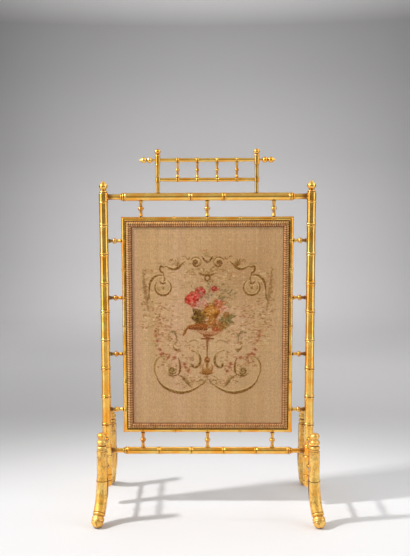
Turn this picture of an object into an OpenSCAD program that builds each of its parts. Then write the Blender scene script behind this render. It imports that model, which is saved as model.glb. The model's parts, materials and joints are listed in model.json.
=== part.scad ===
// Fire screen of gilded wood turned to look like bamboo, with an upholstered panel.
// Millimetres. X runs across the screen, the front looks along -Y, and Z is up from the floor.
// The origin lies on the floor, midway between the feet.

/* [Panel] */
// Width of the panel frame over its rods
panel_w = 499; // [400:1:600]
// Height of the panel frame over its rods
panel_h = 641; // [520:1:760]
// Diameter of a panel frame rod
frame_rod_d = 15; // [13:0.5:20]
// Distance from a frame rod's axis to the flat planed on its inner side
frame_flat = 5.2; // [5:0.25:6.5]
// Open height between the panel frame and the rail above or below it
rail_gap = 45.3; // [34:0.1:70]
// Distance from the panel frame's outer edge to the axis of a post
post_gap = 50.5; // [40:0.5:75]

/* [Posts and rails] */
// Diameter of a post at its top
post_d_top = 25.4; // [20:0.2:28]
// Diameter of a post at its lower end
post_d_bottom = 28.5; // [24:0.5:34]
// Height of a post's lower end above the floor
post_foot_z = 56.5; // [48:0.5:80]
// Height of the bottom rail's axis above the floor
bottom_rail_z = 167.5; // [160:0.5:184]
// Diameter of the top rail
top_rail_d = 23.6; // [20:0.2:28]
// Diameter of the bottom rail
bottom_rail_d = 21.4; // [19:0.2:28]
// How much thinner a rail's ends are than the rail, on the diameter
rail_end_step = 6; // [4:0.5:8]
// Height of a post's finial
finial_h = 35; // [30:0.5:48]
// Diameter of a post's finial
finial_d = 25; // [20:0.5:30]

/* [Crest] */
// Distance from the screen's middle to a crest post's axis
crest_half_w = 142; // [110:1:180]
// Diameter of a crest post
crest_post_d = 11.4; // [10.6:0.2:14]
// Diameter of a crest rail
crest_rail_d = 13; // [11:0.5:16]
// Height of the lower crest rail's axis above the top rail's
crest_rail_rise = 49; // [42:1:64]
// Height between the axes of the two crest rails
crest_bay_h = 56; // [46:1:74]
// Height of a crest post's bud above the upper crest rail's axis
crest_bud_rise = 32.5; // [30:0.5:44]
// Diameter of a crest post's bud and of the balls on an end knob
crest_bud_d = 17.6; // [14:0.5:20]
// Reach of an end knob beyond the crest post's axis
crest_knob_reach = 54; // [48:1:66]
// Number of small spindles between the crest rails
crest_spindles = 4; // [2:1:4]

/* [Legs] */
// Distance from the posts' plane to a leg's axis
leg_offset = 139; // [100:1:170]
// Diameter of a leg's straight part
leg_d = 30.8; // [28:0.2:36]
// Diameter of a leg below its knot
leg_bend_d = 34.4; // [30:0.2:38]
// Height of a leg's top
leg_h = 262; // [246:1:300]
// Height of the knot where a leg starts to bend
leg_knot_z = 123.5; // [112:0.5:130]
// Lean of a foot away from upright
leg_lean = 33.5; // [24:0.5:38]
// Turn of the bend from straight fore and aft towards the outside
leg_splay = 16.5; // [0:0.5:40]
// Diameter of a foot's rings
foot_d = 36; // [32:0.2:40]
// Length of a foot along its axis
foot_len = 25; // [22:0.2:30]

/* [Spindles] */
// Diameter of a panel spindle's ends, which go into the rods, rails and posts
spindle_end_d = 6; // [5:0.2:7]
// Diameter of a panel spindle beside its ball
spindle_d = 9.2; // [7.2:0.2:10]
// Diameter of a panel spindle's ball
spindle_ball_d = 17; // [14:0.2:20]
// Diameter of a crest spindle beside its ball
crest_spindle_d = 7; // [5.6:0.2:8]
// Diameter of a crest spindle's ball
crest_ball_d = 12; // [10:0.2:14]
// Diameter of a leg spacer beside its ball
spacer_d = 11.5; // [10:0.5:14]
// Diameter of a leg spacer's ball
spacer_ball_d = 19; // [16:0.5:24]

/* [Upholstery] */
// Width of the strainer's battens
strainer_w = 22; // [18:0.5:30]
// Thickness of the strainer's battens
strainer_t = 9; // [8:0.5:9]
// Thickness of the tapestry
tapestry_t = 1.2; // [0.8:0.1:2]
// Thickness of the canvas behind the tapestry
canvas_t = 0.6; // [0.4:0.1:1]
// Thickness of the back lining
lining_t = 0.6; // [0.4:0.1:1]
// Width of the front gimp
gimp_w = 17; // [14:0.5:20]
// Thickness of the front gimp
gimp_t = 2.7; // [2.2:0.1:4]
// Width of the back gimp
back_gimp_w = 12; // [10:0.5:16]
// Thickness of the back gimp
back_gimp_t = 2; // [1.6:0.1:3]

/* [Fits] */
// Room for glue round a tenon or dowel, on the radius
glue_gap = 0.1; // [0.05:0.05:0.2]
// Room left at the bottom of a drilled socket
socket_room = 0.5; // [0.3:0.1:1]
// Gap between the strainer and the panel frame's flats
strainer_gap = 0.2; // [0.1:0.05:0.4]
// Gap in the strainer's half-laps
lap_gap = 0.1; // [0.05:0.05:0.2]
// Room round a tack or a brad, on the radius
nail_gap = 0.05; // [0.05:0.05:0.1]

/* [Hidden] */
side_spindles = 4;

smooth = 96;
ring_sides = 12;
$fn = smooth;
gold = "goldenrod";
old_gold = "darkgoldenrod";

// Places worked out from the panel and the gaps round it
top_rail_r = top_rail_d / 2;
bottom_rail_r = bottom_rail_d / 2;
rod_r = frame_rod_d / 2;
post_x = panel_w / 2 + post_gap;
panel_z0 = bottom_rail_z + bottom_rail_r + rail_gap;
panel_z1 = panel_z0 + panel_h;
panel_mid_z = (panel_z0 + panel_z1) / 2;
top_rail_z = panel_z1 + rail_gap + top_rail_r;
crest_low_z = top_rail_z + crest_rail_rise;
crest_high_z = crest_low_z + crest_bay_h;
open_x = panel_w / 2 - rod_r - frame_flat;
open_z = panel_h / 2 - rod_r - frame_flat;

// Knots: six places along a rail with the outer pair at its ends, one at and one between the side
// spindles. The crest stands between two of the top rail's places, where it has no knots.
knot_pitch_x = 2 * post_x / 6.25;
rail_knots = centred(4, knot_pitch_x);
top_rail_knots = centred(2, knot_pitch_x);
rail_knot_end = 2.5 * knot_pitch_x;
rail_spindle_x = centred(3, 2 * knot_pitch_x);
spindle_inset = 70;
spindle_pitch_z = (panel_h - 2 * spindle_inset) / (side_spindles - 1);
post_knot_pitch = spindle_pitch_z / 2 + 1;
post_knots = 2 * side_spindles;
knot_round = 2.8;
knot_proud = 1.2;
rod_knot_round = 1.8;
rod_knot_proud = 1.1;
crest_knot_round = 1.7;
crest_knot_proud = 1;
waist = 0.3;
rod_waist = 0.5;
crest_waist = 0.8;
crest_end_slim = 1.6;

// Seats for the rails on the posts
seat_proud = 0.8;
seat_half = 12;
seat_groove = 1.5;
seat_bead_dz = 16;
post_top_z = top_rail_z + seat_half;
post_end_round = 10;
post_end_grooves = [21, 39];
finial_neck_d = 16.5;
finial_tip = 16.4;

// Tenons, dowels and their sockets
rail_tenon_d = 10;
rail_tenon = 8;
spindle_tenon = 7.5;
finial_dowel_d = 6;
finial_dowel = 14;
crest_foot_tenon_d = 7;
crest_foot_tenon = 12;
crest_tenon_d = 5;
crest_tenon = 2.2;
crest_spindle_tenon_d = 3.6;
crest_spindle_tenon = 4.5;
spacer_tenon_d = 8;
spacer_tenon = 8;
corner_dowel_d = 4;
corner_dowel = 14;

// Crest
crest_post_r = crest_post_d / 2;
crest_rail_r = crest_rail_d / 2;
crest_seat_proud = 1.4;
crest_seat_half = 11;
crest_seat_r = crest_post_r + crest_seat_proud;
crest_knot_r = crest_rail_r + crest_knot_proud;
crest_foot_z = top_rail_z + top_rail_r - waist;
crest_neck_d = 10.4;
crest_bud_tip = 8.5;
crest_bay_w = 2 * crest_half_w / (crest_spindles + 1);
crest_knob_ball_gap = 17;

// Legs: the bend's radius brings the foot down to the floor at the chosen lean
leg_r = leg_d / 2;
leg_bend_r = leg_bend_d / 2;
foot_r = foot_d / 2;
foot_flat = 0.8;
foot_dome_z = foot_r - foot_flat;
ankle_z = foot_dome_z + foot_len * cos(leg_lean);
bend_r = (leg_knot_z - ankle_z) / sin(leg_lean);
leg_ball_h = 18.5;
leg_shaft_r = leg_r - 0.3;
leg_shaft_top = leg_h - 2 * leg_ball_h - 16;
leg_fade = 12;
spacer_levels = [leg_shaft_top - 5.5, leg_knot_z - 1];

// Upholstery layers, counted from the strainer outwards
strainer_x = open_x - strainer_gap;
strainer_z = open_z - strainer_gap;
front_y = -strainer_t / 2;
back_y = strainer_t / 2;
tapestry_y = front_y - canvas_t;
gimp_y = tapestry_y - tapestry_t;
back_gimp_y = back_y + lining_t;
tack_head_d = 6;
tack_head_t = 0.7;
tack_d = 1.5;
tack_in_wood = 4.5;
tack_pitch = 72;
tack_pocket = 0.2;
brad_d = 1.8;
brad_head_d = 3.4;
brad_head_t = 0.7;
brad_in_rod = 4.5;

function post_r(z) = post_d_bottom / 2
    + (post_d_top - post_d_bottom) / 2 * (z - post_foot_z) / (post_top_z - post_foot_z);
function seat_r(z) = post_r(z) + seat_proud;
function slim_post_r(z) = post_r(z) - waist;
function leg_side_r(z) = leg_shaft_r
    + (leg_bend_r - leg_shaft_r) * max(0, 1 - max(0, z - leg_knot_z - 1) / leg_fade);
function centred(count, pitch) = [for (i = [0:count - 1]) (i - (count - 1) / 2) * pitch];

// Profiles, drawn as [radius, height] and turned about the Z axis

// Round ring with its middle at a radius and height, or a ball where the radius is zero
module bead(mid_r, z, round, sides = smooth) {
    intersection() {
        translate([mid_r, z]) circle(r = round, $fn = sides);
        translate([0, z - round]) square([mid_r + round, 2 * round]);
    }
}

module core(stops) {
    polygon(concat([[0, stops[0][1]]], stops, [[0, stops[len(stops) - 1][1]]]));
}

// A knot is two rings, and a round cut between them except on a rod that is planed afterwards
function knot_half(round) = 1.15 * round;

module knot_rings(r, z, round, proud, sides = smooth) {
    for (side = [-1, 1])
        bead(r - round + proud, z + side * knot_half(round), round, sides);
}

module knot_cut(r, z, round) {
    translate([r + 0.3 * round, z]) circle(r = 0.6 * round);
}

// Bamboo rod from z0 to z1: slimmer between its knots and, by end_slim, at its ends
module bamboo(z0, r0, z1, r1, knots, round, proud, slim, end_slim = 0, planed = false) {
    half = knot_half(round);
    flare = 6 * round;
    slope = (r1 - r0) / (z1 - z0);
    stops = [for (k = knots) let (r = r0 + slope * (k - z0)) each
        [[r - slim, k - flare], [r, k - half], [r, k + half], [r - slim, k + flare]]];
    difference() {
        union() {
            core(concat([[r0 - end_slim, z0]], stops, [[r1 - end_slim, z1]]));
            for (k = knots)
                knot_rings(r0 + slope * (k - z0), k, round, proud, planed ? ring_sides : smooth);
        }
        if (!planed)
            for (k = knots) knot_cut(r0 + slope * (k - z0), k, round);
    }
}

// Bud of a finial on a shoulder at height zero: a ring, a neck and a pointed bulb
module bud(h, d, neck_d, tip) {
    bulb = 0.41 * d;
    bulb_z = h - tip;
    base = 0.13 * d;
    shoulder = 48;
    bead(0.46 * d - base, base, base);
    core([[0.4 * d, 0], [neck_d / 2, 1.8 * base], [neck_d / 2, bulb_z]]);
    bead(d / 2 - bulb, bulb_z, bulb);
    core([[d / 2 - bulb + bulb * cos(shoulder), bulb_z + bulb * sin(shoulder)], [0.6, h]]);
}

// Turned spindle over a gap, with an end in a socket on either side, flared feet and a flattened ball
module spindle(gap, end_d, d, ball_d, tenon) {
    ball = ball_d / 3;
    foot_r = d / 2 + 0.14 * d;
    foot_t = 0.2 * d;
    flare = 0.85 * d;
    rotate_extrude() {
        core([[end_d / 2, -tenon], [end_d / 2, 0], [foot_r, 0.05], [foot_r, foot_t], [d / 2 - 0.3, flare],
            [d / 2, gap / 2],
            [d / 2 - 0.3, gap - flare], [foot_r, gap - foot_t], [foot_r, gap - 0.05], [end_d / 2, gap],
            [end_d / 2, gap + tenon]]);
        bead(ball_d / 2 - ball, gap / 2, ball);
    }
}

// Placing: a copy on the left and on the right, lying along X, and drilled holes
module on_side(side) {
    mirror([side == "left" ? 1 : 0, 0, 0]) children();
}

module along_x() {
    rotate([0, 90, 0]) children();
}

// Hole for a tenon, drilled from the origin along +Z
module socket(d, depth) {
    cylinder(d = d + 2 * glue_gap, h = depth + socket_room);
}

// Post with its axis on Z, its inner side towards -X
module post_body() {
    knots = [for (dz = centred(post_knots, post_knot_pitch)) panel_mid_z + dz];
    end_r = post_r(post_foot_z);
    rotate_extrude() {
        difference() {
            union() {
                bamboo(post_foot_z + post_end_round, end_r, post_top_z, post_r(post_top_z), knots,
                    knot_round, knot_proud, waist);
                bead(end_r - post_end_round, post_foot_z + post_end_round, post_end_round);
                translate([0, post_foot_z]) square([end_r - post_end_round, post_end_round + 1]);
                for (z = [bottom_rail_z, top_rail_z]) {
                    translate([0, z - seat_half]) square([seat_r(z), 2 * seat_half]);
                    bead(seat_r(z) - knot_round + 0.4, z - seat_bead_dz, knot_round);
                }
                bead(seat_r(bottom_rail_z) - knot_round + 0.4, bottom_rail_z + seat_bead_dz, knot_round);
            }
            for (dz = post_end_grooves)
                translate([end_r + 0.4, post_foot_z + dz]) circle(r = 1.7);
            for (z = [bottom_rail_z, top_rail_z], side = [-1, 1])
                translate([seat_r(z) + 0.4, z + side * seat_half]) circle(r = seat_groove);
        }
    }
}

module post(side) {
    on_side(side) translate([post_x, 0, 0]) color(gold) difference() {
        post_body();
        for (z = [bottom_rail_z, top_rail_z])
            translate([-seat_r(z) + rail_tenon, 0, z]) rotate([0, -90, 0])
                translate([0, 0, -socket_room])
                    cylinder(d = rail_tenon_d + 2 * glue_gap, h = rail_tenon + socket_room + 5);
        for (dz = centred(side_spindles, spindle_pitch_z))
            translate([-slim_post_r(panel_mid_z + dz) + spindle_tenon + socket_room, 0, panel_mid_z + dz])
                rotate([0, -90, 0]) socket(spindle_end_d, spindle_tenon + 5);
        for (z = spacer_levels, turn = [90, -90])
            rotate([turn, 0, 0]) translate([0, z * sign(turn), post_r(z) - spacer_tenon - socket_room])
                socket(spacer_tenon_d, spacer_tenon + 5);
        translate([0, 0, post_top_z - finial_dowel - socket_room]) socket(finial_dowel_d, finial_dowel + 1);
    }
}

module post_finial(side) {
    on_side(side) translate([post_x, 0, post_top_z]) color(gold) rotate_extrude() {
        bud(finial_h, finial_d, finial_neck_d, finial_tip);
        translate([0, -finial_dowel]) square([finial_dowel_d / 2, finial_dowel + 1]);
    }
}

// Leg with its axis on Z and its post towards +Y, bending towards -Y
module leg_body() {
    ball = leg_ball_h / 2;
    difference() {
        union() {
            rotate_extrude() {
                difference() {
                    union() {
                        core([[leg_bend_r, leg_knot_z - 1], [leg_bend_r, leg_knot_z + 1],
                            [leg_shaft_r, leg_knot_z + 1 + leg_fade], [leg_shaft_r, leg_shaft_top - 6],
                            [leg_r, leg_shaft_top], [leg_r - 2.6, leg_shaft_top + 1],
                            [leg_r - 2.6, leg_shaft_top + 6], [leg_r - 5, leg_shaft_top + 7],
                            [leg_r - 5, leg_h - ball]]);
                        bead(leg_r - 5.6, leg_shaft_top + 11, 5);
                        bead(leg_r - 1 - ball, leg_h - 3 * ball, ball);
                        bead(leg_r - 1.9 - ball, leg_h - ball, ball);
                        translate([0, leg_h - ball]) square([leg_r - 1.9 - ball, ball]);
                    }
                    translate([leg_bend_r + 0.4, leg_knot_z]) circle(r = 1.9);
                }
            }
            translate([0, 0, leg_knot_z]) rotate([0, 0, leg_splay]) translate([0, -bend_r, 0])
                rotate([90, 0, 90]) rotate([0, 0, -leg_lean])
                    rotate_extrude(angle = leg_lean) translate([bend_r, 0]) circle(r = leg_bend_r);
            rotate([0, 0, leg_splay]) translate([0, -bend_r * (1 - cos(leg_lean)), ankle_z])
                rotate([-leg_lean, 0, 0]) foot();
        }
        translate([-200, -200, -100]) cube([400, 400, 100]);
        for (z = spacer_levels)
            translate([0, leg_side_r(z) - spacer_tenon - socket_room, z]) rotate([-90, 0, 0])
                socket(spacer_tenon_d, spacer_tenon + 5);
    }
}

// Foot hanging down from the end of the bend: two broad rings with deep grooves round them, and a dome
module foot() {
    ring = 4.4;
    ring_z = -4.8;
    band = 7;
    band_z = -17.4;
    cut = 2.4;
    groove_r = foot_r - 3.2;
    rotate_extrude() difference() {
        union() {
            core([[0.01, -foot_len], [groove_r, -foot_len], [groove_r, -3], [leg_bend_r - 0.4, 0]]);
            bead(foot_r - ring, ring_z, ring);
            bead(foot_r - band, band_z, band);
            bead(0, -foot_len, foot_r);
            translate([0, -3]) square([leg_bend_r - 4, 6]);
        }
        translate([foot_r + 0.6, -foot_len - 1]) circle(r = cut);
    }
}

module leg(end, side) {
    on_side(side) mirror([0, end == "back" ? 1 : 0, 0]) translate([post_x, -leg_offset, 0])
        color(old_gold) leg_body();
}

module leg_spacer(end, side, level) {
    z = spacer_levels[level == "upper" ? 0 : 1];
    gap = leg_offset - post_r(z) - leg_side_r(z);
    on_side(side) mirror([0, end == "back" ? 1 : 0, 0]) translate([post_x, -post_r(z), z])
        rotate([90, 0, 0]) color(gold)
            spindle(gap, spacer_tenon_d, spacer_d, spacer_ball_d, spacer_tenon);
}

// Rail lying along X about its middle, its ends scribed to the posts' seats
module rail_body(z, r, knots) {
    seat = seat_r(z);
    reach = post_x - seat;
    thin_r = r - rail_end_step / 2;
    shoulder = rail_knot_end + knot_half(knot_round) + 0.7 * knot_round;
    along_x() rotate_extrude() difference() {
        union() {
            bamboo(-rail_knot_end, r, rail_knot_end, r, knots, knot_round, knot_proud, waist);
            for (s = [-1, 1]) {
                mirror([0, s > 0 ? 0 : 1]) core([[r, rail_knot_end - 0.1], [r, shoulder]]);
                knot_rings(r, s * rail_knot_end, knot_round, knot_proud);
                bead(thin_r + 1.4 - knot_round, s * (shoulder + 1.2 * knot_round), knot_round);
            }
            core([[thin_r, -reach - seat / 2], [thin_r - 0.6, -reach + 12], [thin_r - 0.6, reach - 12],
                [thin_r, reach + seat / 2]]);
        }
        for (s = [-1, 1]) knot_cut(r, s * rail_knot_end, knot_round);
    }
}

module rail_with_tenons(z, r, knots) {
    tenon_reach = post_x - seat_r(z) + rail_tenon;
    translate([0, 0, z]) {
        difference() {
            rail_body(z, r, knots);
            for (s = [-1, 1])
                translate([s * post_x, 0, -r * 2]) cylinder(r = seat_r(z) + glue_gap, h = r * 4);
        }
        along_x() translate([0, 0, -tenon_reach]) cylinder(d = rail_tenon_d, h = 2 * tenon_reach);
    }
}

module rail_spindle_sockets(z, r, up) {
    for (x = rail_spindle_x)
        translate([x, 0, z]) mirror([0, 0, up ? 0 : 1])
            translate([0, 0, r - waist - spindle_tenon - socket_room])
                socket(spindle_end_d, spindle_tenon + 5);
}

module top_rail() {
    color(gold) difference() {
        rail_with_tenons(top_rail_z, top_rail_r, top_rail_knots);
        rail_spindle_sockets(top_rail_z, top_rail_r, false);
        for (s = [-1, 1])
            translate([s * crest_half_w, 0, crest_foot_z - crest_foot_tenon - socket_room])
                socket(crest_foot_tenon_d, crest_foot_tenon + 5);
    }
}

module bottom_rail() {
    color(gold) difference() {
        rail_with_tenons(bottom_rail_z, bottom_rail_r, rail_knots);
        rail_spindle_sockets(bottom_rail_z, bottom_rail_r, true);
    }
}

// Crest post with its foot tenon, a long seat at the upper crest rail, a short one below and its bud
module crest_post(side) {
    top_z = crest_high_z + crest_seat_half;
    low_seat_half = crest_rail_r;
    on_side(side) translate([crest_half_w, 0, 0]) color(gold) difference() {
        rotate_extrude() {
            core([[crest_foot_tenon_d / 2, crest_foot_z - crest_foot_tenon],
                [crest_foot_tenon_d / 2, crest_foot_z], [crest_post_r - 0.4, crest_foot_z + 0.05],
                [crest_post_r - 0.4, crest_low_z], [crest_post_r, crest_high_z], [crest_post_r, top_z]]);
            translate([0, crest_low_z - low_seat_half]) square([crest_seat_r, 2 * low_seat_half]);
            translate([0, crest_high_z - crest_seat_half]) square([crest_seat_r, 2 * crest_seat_half]);
            bead(crest_seat_r - 1.2, crest_high_z - crest_seat_half, crest_knot_round);
            translate([0, top_z])
                bud(crest_bud_rise - crest_seat_half, crest_bud_d, crest_neck_d, crest_bud_tip);
        }
        for (z = [crest_low_z, crest_high_z])
            translate([-crest_seat_r + crest_tenon + socket_room, 0, z]) rotate([0, -90, 0])
                socket(crest_tenon_d, crest_tenon + 5);
        translate([crest_seat_r - crest_tenon - socket_room, 0, crest_high_z]) along_x()
            socket(crest_tenon_d, crest_tenon + 5);
    }
}

// Crest rail about the middle, its ends scribed to the crest posts, with a knot at each spindle
module crest_rail(z, up) {
    reach = crest_half_w - crest_seat_r;
    tenon_reach = reach + crest_tenon;
    knots = centred(crest_spindles, crest_bay_w);
    color(gold) translate([0, 0, z]) difference() {
        union() {
            difference() {
                along_x() rotate_extrude()
                    bamboo(-crest_half_w, crest_rail_r, crest_half_w, crest_rail_r, knots,
                        crest_knot_round, crest_knot_proud, crest_waist, crest_end_slim);
                for (s = [-1, 1])
                    translate([s * crest_half_w, 0, -crest_rail_d])
                        cylinder(r = crest_seat_r + glue_gap, h = 2 * crest_rail_d);
            }
            along_x() translate([0, 0, -tenon_reach]) cylinder(d = crest_tenon_d, h = 2 * tenon_reach);
        }
        for (x = knots)
            translate([x, 0, 0]) mirror([0, 0, up ? 0 : 1])
                translate([0, 0, crest_knot_r - crest_spindle_tenon - socket_room])
                    socket(crest_spindle_tenon_d, crest_spindle_tenon + 5);
    }
}

module crest_top_rail() {
    crest_rail(crest_high_z, false);
}

module crest_lower_rail() {
    crest_rail(crest_low_z, true);
}

// Double-ball end of the upper crest rail, outside its post
module crest_knob(side) {
    ball = crest_bud_d / 2;
    tip = crest_knob_reach;
    outer_z = tip - ball - 4.8;
    inner_z = outer_z - crest_knob_ball_gap;
    on_side(side) translate([crest_half_w, 0, crest_high_z]) color(gold) union() {
        difference() {
            along_x() rotate_extrude() {
                core([[crest_rail_r - 1.6, 0], [3.6, crest_seat_r + 4], [3.6, outer_z]]);
                bead(2, inner_z, ball - 2);
                bead(1, outer_z, ball - 1);
                core([[1 + (ball - 1) * cos(40), outer_z + (ball - 1) * sin(40)], [0.4, tip]]);
            }
            translate([0, 0, -crest_rail_d]) cylinder(r = crest_seat_r + glue_gap, h = 2 * crest_rail_d);
        }
        along_x() translate([0, 0, crest_seat_r - crest_tenon])
            cylinder(d = crest_tenon_d, h = crest_tenon + 3);
    }
}

module crest_spindle(i) {
    gap = crest_bay_h - 2 * crest_knot_r;
    x = centred(crest_spindles, crest_bay_w)[i - 1];
    translate([x, 0, crest_low_z + crest_knot_r]) color(gold)
        spindle(gap, crest_spindle_tenon_d, crest_spindle_d, crest_ball_d, crest_spindle_tenon);
}

// Panel frame rod about its middle, lying along X, with its inner side up
module frame_rod(length, knots, sockets) {
    flat_z = rod_r + frame_flat;
    half = length / 2;
    spare = 5;
    difference() {
        translate([0, 0, rod_r]) along_x() rotate_extrude()
            bamboo(-half - spare, rod_r, half + spare, rod_r, knots, rod_knot_round, rod_knot_proud,
                rod_waist, planed = true);
        translate([-half - 2 * spare, -2 * rod_r, flat_z]) cube([length + 4 * spare, 4 * rod_r, rod_r]);
        for (s = [-1, 1])
            translate([s * half, 0, 0]) rotate([0, -s * 45, 0])
                translate([s > 0 ? 0 : -4 * rod_r, -2 * rod_r, -3 * rod_r]) cube([4 * rod_r, 4 * rod_r, 8 * rod_r]);
        for (x = sockets)
            translate([x, 0, spindle_tenon - rod_knot_proud + socket_room]) mirror([0, 0, 1])
                socket(spindle_end_d, spindle_tenon + 5);
        corner_dowels(length, corner_dowel_d + 2 * glue_gap, corner_dowel + 2 * socket_room);
    }
}

// The two dowels across a rod's mitred ends
module corner_dowels(length, d, dowel_l) {
    for (s = [-1, 1])
        translate([s * (length / 2 - rod_r), 0, rod_r]) rotate([0, s * 45, 0])
            cylinder(d = d, h = dowel_l, center = true);
}

// The panel frame's four sides, each brought to the bottom edge's place
module on_panel_edge(edge) {
    translate([0, 0, panel_mid_z])
        rotate([0, edge == "bottom" ? 0 : edge == "left" ? 90 : edge == "top" ? 180 : 270, 0])
            translate([0, 0, edge == "bottom" || edge == "top" ? -panel_h / 2 : -panel_w / 2]) children();
}

module panel_frame(edge) {
    level = edge == "bottom" || edge == "top";
    knots = level ? centred(5, knot_pitch_x) : centred(2 * side_spindles - 1, spindle_pitch_z / 2);
    sockets = level ? rail_spindle_x : centred(side_spindles, spindle_pitch_z);
    color(gold) on_panel_edge(edge) difference() {
        frame_rod(level ? panel_w : panel_h, knots, sockets);
        brads(level, nail_gap);
    }
}

module frame_corner_dowels() {
    color("burlywood") for (edge = ["bottom", "top"])
        on_panel_edge(edge) corner_dowels(panel_w, corner_dowel_d, corner_dowel);
}

// Spindles between a rail's slim stretch and a knot of the panel frame
module rail_spindle(edge, place) {
    x = rail_spindle_x[place == "left" ? 0 : place == "middle" ? 1 : 2];
    z = edge == "top" ? panel_z1 + rod_knot_proud : bottom_rail_z + bottom_rail_r - waist;
    translate([x, 0, z]) color(gold)
        spindle(rail_gap + waist - rod_knot_proud, spindle_end_d, spindle_d, spindle_ball_d, spindle_tenon);
}

// Spindles between a post and the panel frame, counted from the bottom
module side_spindle(side, i) {
    z = panel_mid_z + centred(side_spindles, spindle_pitch_z)[i - 1];
    on_side(side) translate([panel_w / 2 + rod_knot_proud, 0, z]) along_x() color(gold)
        spindle(post_gap - slim_post_r(z) - rod_knot_proud, spindle_end_d, spindle_d, spindle_ball_d,
            spindle_tenon);
}

// Strainer batten on a panel edge, half-lapped at its ends: the level pair keep the front half
module strainer(edge) {
    level = edge == "bottom" || edge == "top";
    length = 2 * (level ? strainer_x : strainer_z);
    z0 = rod_r + frame_flat + strainer_gap;
    color("wheat") on_panel_edge(edge) difference() {
        translate([-length / 2, -strainer_t / 2, z0]) cube([length, strainer_t, strainer_w]);
        for (s = [-1, 1])
            translate([s * (length - strainer_w) / 2, level ? strainer_t / 2 : -strainer_t / 2,
                z0 + strainer_w / 2])
                cube([strainer_w + 2 * lap_gap, strainer_t + lap_gap, 3 * strainer_w], center = true);
        tack_row(level, "front") tack(nail_gap);
        tack_row(level, "back") tack(nail_gap);
        brads(level, nail_gap);
    }
}

// Brads driven from the strainer's inner edge into the panel frame's rod
module brads(level, gap) {
    z0 = rod_r + frame_flat + strainer_gap + strainer_w;
    for (x = centred(level ? 2 : 4, (level ? 3.5 : 1.5) * tack_pitch))
        translate([x, 0, z0]) {
            translate([0, 0, -strainer_w - strainer_gap - brad_in_rod - gap])
                cylinder(d = brad_d + 2 * gap, h = strainer_w + strainer_gap + brad_in_rod + gap + 0.1);
            cylinder(d = brad_head_d, h = brad_head_t);
        }
}

module strainer_brads() {
    color("dimgray") for (edge = ["bottom", "left", "top", "right"])
        on_panel_edge(edge) brads(edge == "bottom" || edge == "top", 0);
}

// Row of tacks along a panel edge, on the front or the back; the back row stands between the front row's
module tack_row(level, face) {
    length = 2 * (level ? open_x : open_z);
    count = floor((length - 2 * strainer_w) / tack_pitch) + (face == "front" ? 1 : 0);
    width = face == "front" ? gimp_w : back_gimp_w;
    z = rod_r + frame_flat + width / 2;
    for (x = centred(count, tack_pitch))
        translate([x, 0, z]) rotate([face == "front" ? -90 : 90, 0, 0])
            translate([0, 0, face == "front" ? gimp_y : -back_gimp_y]) children();
}

// Tack with its head resting on the cloth at height zero, its shank going in along +Z
module tack(gap) {
    cloth = tapestry_t + canvas_t;
    translate([0, 0, -tack_head_t - gap]) cylinder(d = tack_head_d + 2 * gap, h = tack_head_t + gap);
    translate([0, 0, -0.1]) cylinder(d = tack_d + 2 * gap, h = cloth + tack_in_wood + 0.1 + gap);
}

module tapestry_tacks() {
    color("darkslategray") for (edge = ["bottom", "left", "top", "right"])
        on_panel_edge(edge) tack_row(edge == "bottom" || edge == "top", "front") tack(0);
}

module lining_tacks() {
    color("darkslategray") for (edge = ["bottom", "left", "top", "right"])
        on_panel_edge(edge) tack_row(edge == "bottom" || edge == "top", "back") tack(0);
}

module canvas_interlining() {
    color("tan") difference() {
        cloth_sheet(tapestry_y, canvas_t);
        all_tacks("front");
    }
}

module tapestry_panel() {
    color("burlywood") difference() {
        cloth_sheet(gimp_y, tapestry_t);
        all_tacks("front");
    }
}

module back_lining() {
    color("antiquewhite") difference() {
        cloth_sheet(back_y, lining_t);
        all_tacks("back");
    }
}

// Flat cloth over the strainer, from y to y + t
module cloth_sheet(y, t) {
    translate([-strainer_x, y, panel_mid_z - strainer_z]) cube([2 * strainer_x, t, 2 * strainer_z]);
}

module all_tacks(face) {
    for (edge = ["bottom", "left", "top", "right"])
        on_panel_edge(edge) tack_row(edge == "bottom" || edge == "top", face) tack(nail_gap);
}

// Braid round the panel's edge, hollowed at the back over each tack's head
module gimp(y, t, w, face) {
    difference() {
        cloth_sheet(y, t);
        translate([-strainer_x + w, y - 1, panel_mid_z - strainer_z + w])
            cube([2 * (strainer_x - w), t + 2, 2 * (strainer_z - w)]);
        for (edge = ["bottom", "left", "top", "right"])
            on_panel_edge(edge) tack_row(edge == "bottom" || edge == "top", face)
                translate([0, 0, -tack_head_t - tack_pocket])
                    cylinder(d = tack_head_d + 2 * tack_pocket, h = tack_head_t + tack_pocket + 0.1);
    }
}

module front_gimp() {
    color("rosybrown") gimp(gimp_y - gimp_t, gimp_t, gimp_w, "front");
}

module back_gimp() {
    color("tan") gimp(back_gimp_y, back_gimp_t, back_gimp_w, "back");
}

for (side = ["left", "right"]) {
    post(side);
    post_finial(side);
    crest_post(side);
    crest_knob(side);
}
for (end = ["front", "back"], side = ["left", "right"]) {
    leg(end, side);
    for (level = ["upper", "lower"])
        leg_spacer(end, side, level);
}
top_rail();
bottom_rail();
crest_top_rail();
crest_lower_rail();
for (i = [1:crest_spindles])
    crest_spindle(i);
for (edge = ["top", "bottom", "left", "right"]) {
    panel_frame(edge);
    strainer(edge);
}
for (edge = ["top", "bottom"], place = ["left", "middle", "right"])
    rail_spindle(edge, place);
for (side = ["left", "right"], i = [1:side_spindles])
    side_spindle(side, i);
canvas_interlining();
tapestry_panel();
back_lining();
front_gimp();
back_gimp();
tapestry_tacks();
lining_tacks();
strainer_brads();
frame_corner_dowels();
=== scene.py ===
"""Looks of a gilded faux-bamboo fire screen with a tapestry panel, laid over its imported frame.

Metres, +Z up, the front looks along -Y. The cloths' own sizes are in millimetres.
"""

import json
import math

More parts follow.
